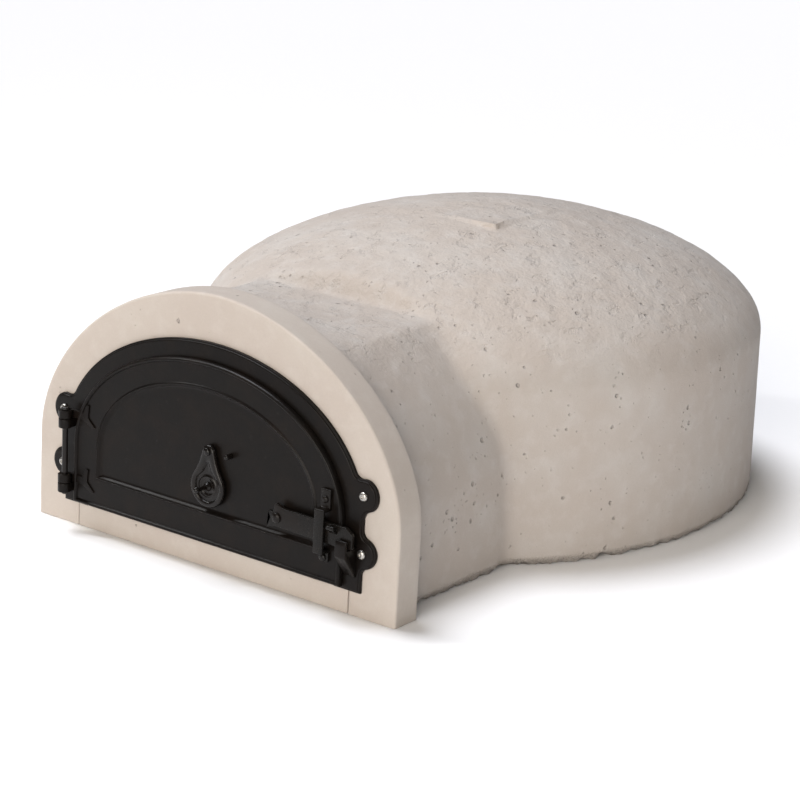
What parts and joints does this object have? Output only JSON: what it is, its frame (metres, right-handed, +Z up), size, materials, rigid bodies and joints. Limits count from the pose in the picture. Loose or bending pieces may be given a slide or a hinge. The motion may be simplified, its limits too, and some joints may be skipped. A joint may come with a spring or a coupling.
{
  "type": "wood fired pizza oven",
  "caption": "Refractory dome oven with an arched neck and mouth ring, a slab hearth, and a framed cast iron door with a lift latch and a swinging draught damper.",
  "frame": {"origin": "on the ground, at the middle of the object's bounding box, knob to back of dome", "axes": "+Z up, -Y out of the mouth, +X to the right seen from the front"},
  "size_m": [0.903, 1.249, 0.46],
  "materials": {
    "refractory_castable": "raw cast refractory concrete, pale warm grey, fine pits and a rough trowelled top",
    "arch_castable": "smooth cast refractory, pale pinkish beige, matt",
    "hearth_castable": "flat cast refractory slab, matt",
    "sill_castable": "smooth cast refractory, matt",
    "frame_iron": "fine grained cast iron under black stove paint, satin",
    "door_iron": "fine grained cast iron under black stove paint, satin",
    "latch_iron": "black painted iron, satin",
    "pin_iron": "black iron, handled smooth",
    "screw_steel": "bright zinc plated steel"
  },
  "bodies": {
    "oven": {"dome_shell": "refractory_castable", "hearth_front_slab": "hearth_castable", "hearth_rear_slab": "hearth_castable", "arch_ring": "arch_castable", "hearth_sill": "sill_castable", "door_frame": "frame_iron", "frame_screw_upper_left": "screw_steel", "frame_screw_lower_left": "screw_steel", "frame_screw_upper_right": "screw_steel", "frame_screw_lower_right": "screw_steel", "hinge_pin": "pin_iron"},
    "door": {"door_leaf": "door_iron", "latch_guide_strap": "latch_iron", "guide_bolt_upper": "latch_iron", "guide_bolt_lower": "latch_iron", "latch_pivot_bolt": "pin_iron", "damper_rivet": "pin_iron", "damper_stop_pin": "pin_iron"},
    "latch": {"latch_arm": "latch_iron"},
    "damper": {"damper_flap": "door_iron", "damper_knob": "pin_iron"}
  },
  "joints": [
    {"name": "door_swing", "type": "hinge", "parent": "oven", "child": "door", "pos_m": [-0.271, -0.6015, 0.12], "axis": [0, 0, -1], "range_deg": [0, 165]},
    {"name": "latch_lift", "type": "hinge", "parent": "door", "child": "latch", "pos_m": [0.15, -0.595, 0.123], "axis": [0, -1, 0], "range_deg": [0, 8]},
    {"name": "damper_swing", "type": "hinge", "parent": "door", "child": "damper", "pos_m": [0.013, -0.592, 0.189], "axis": [0, -1, 0], "range_deg": [-222, 42]}
  ]
}
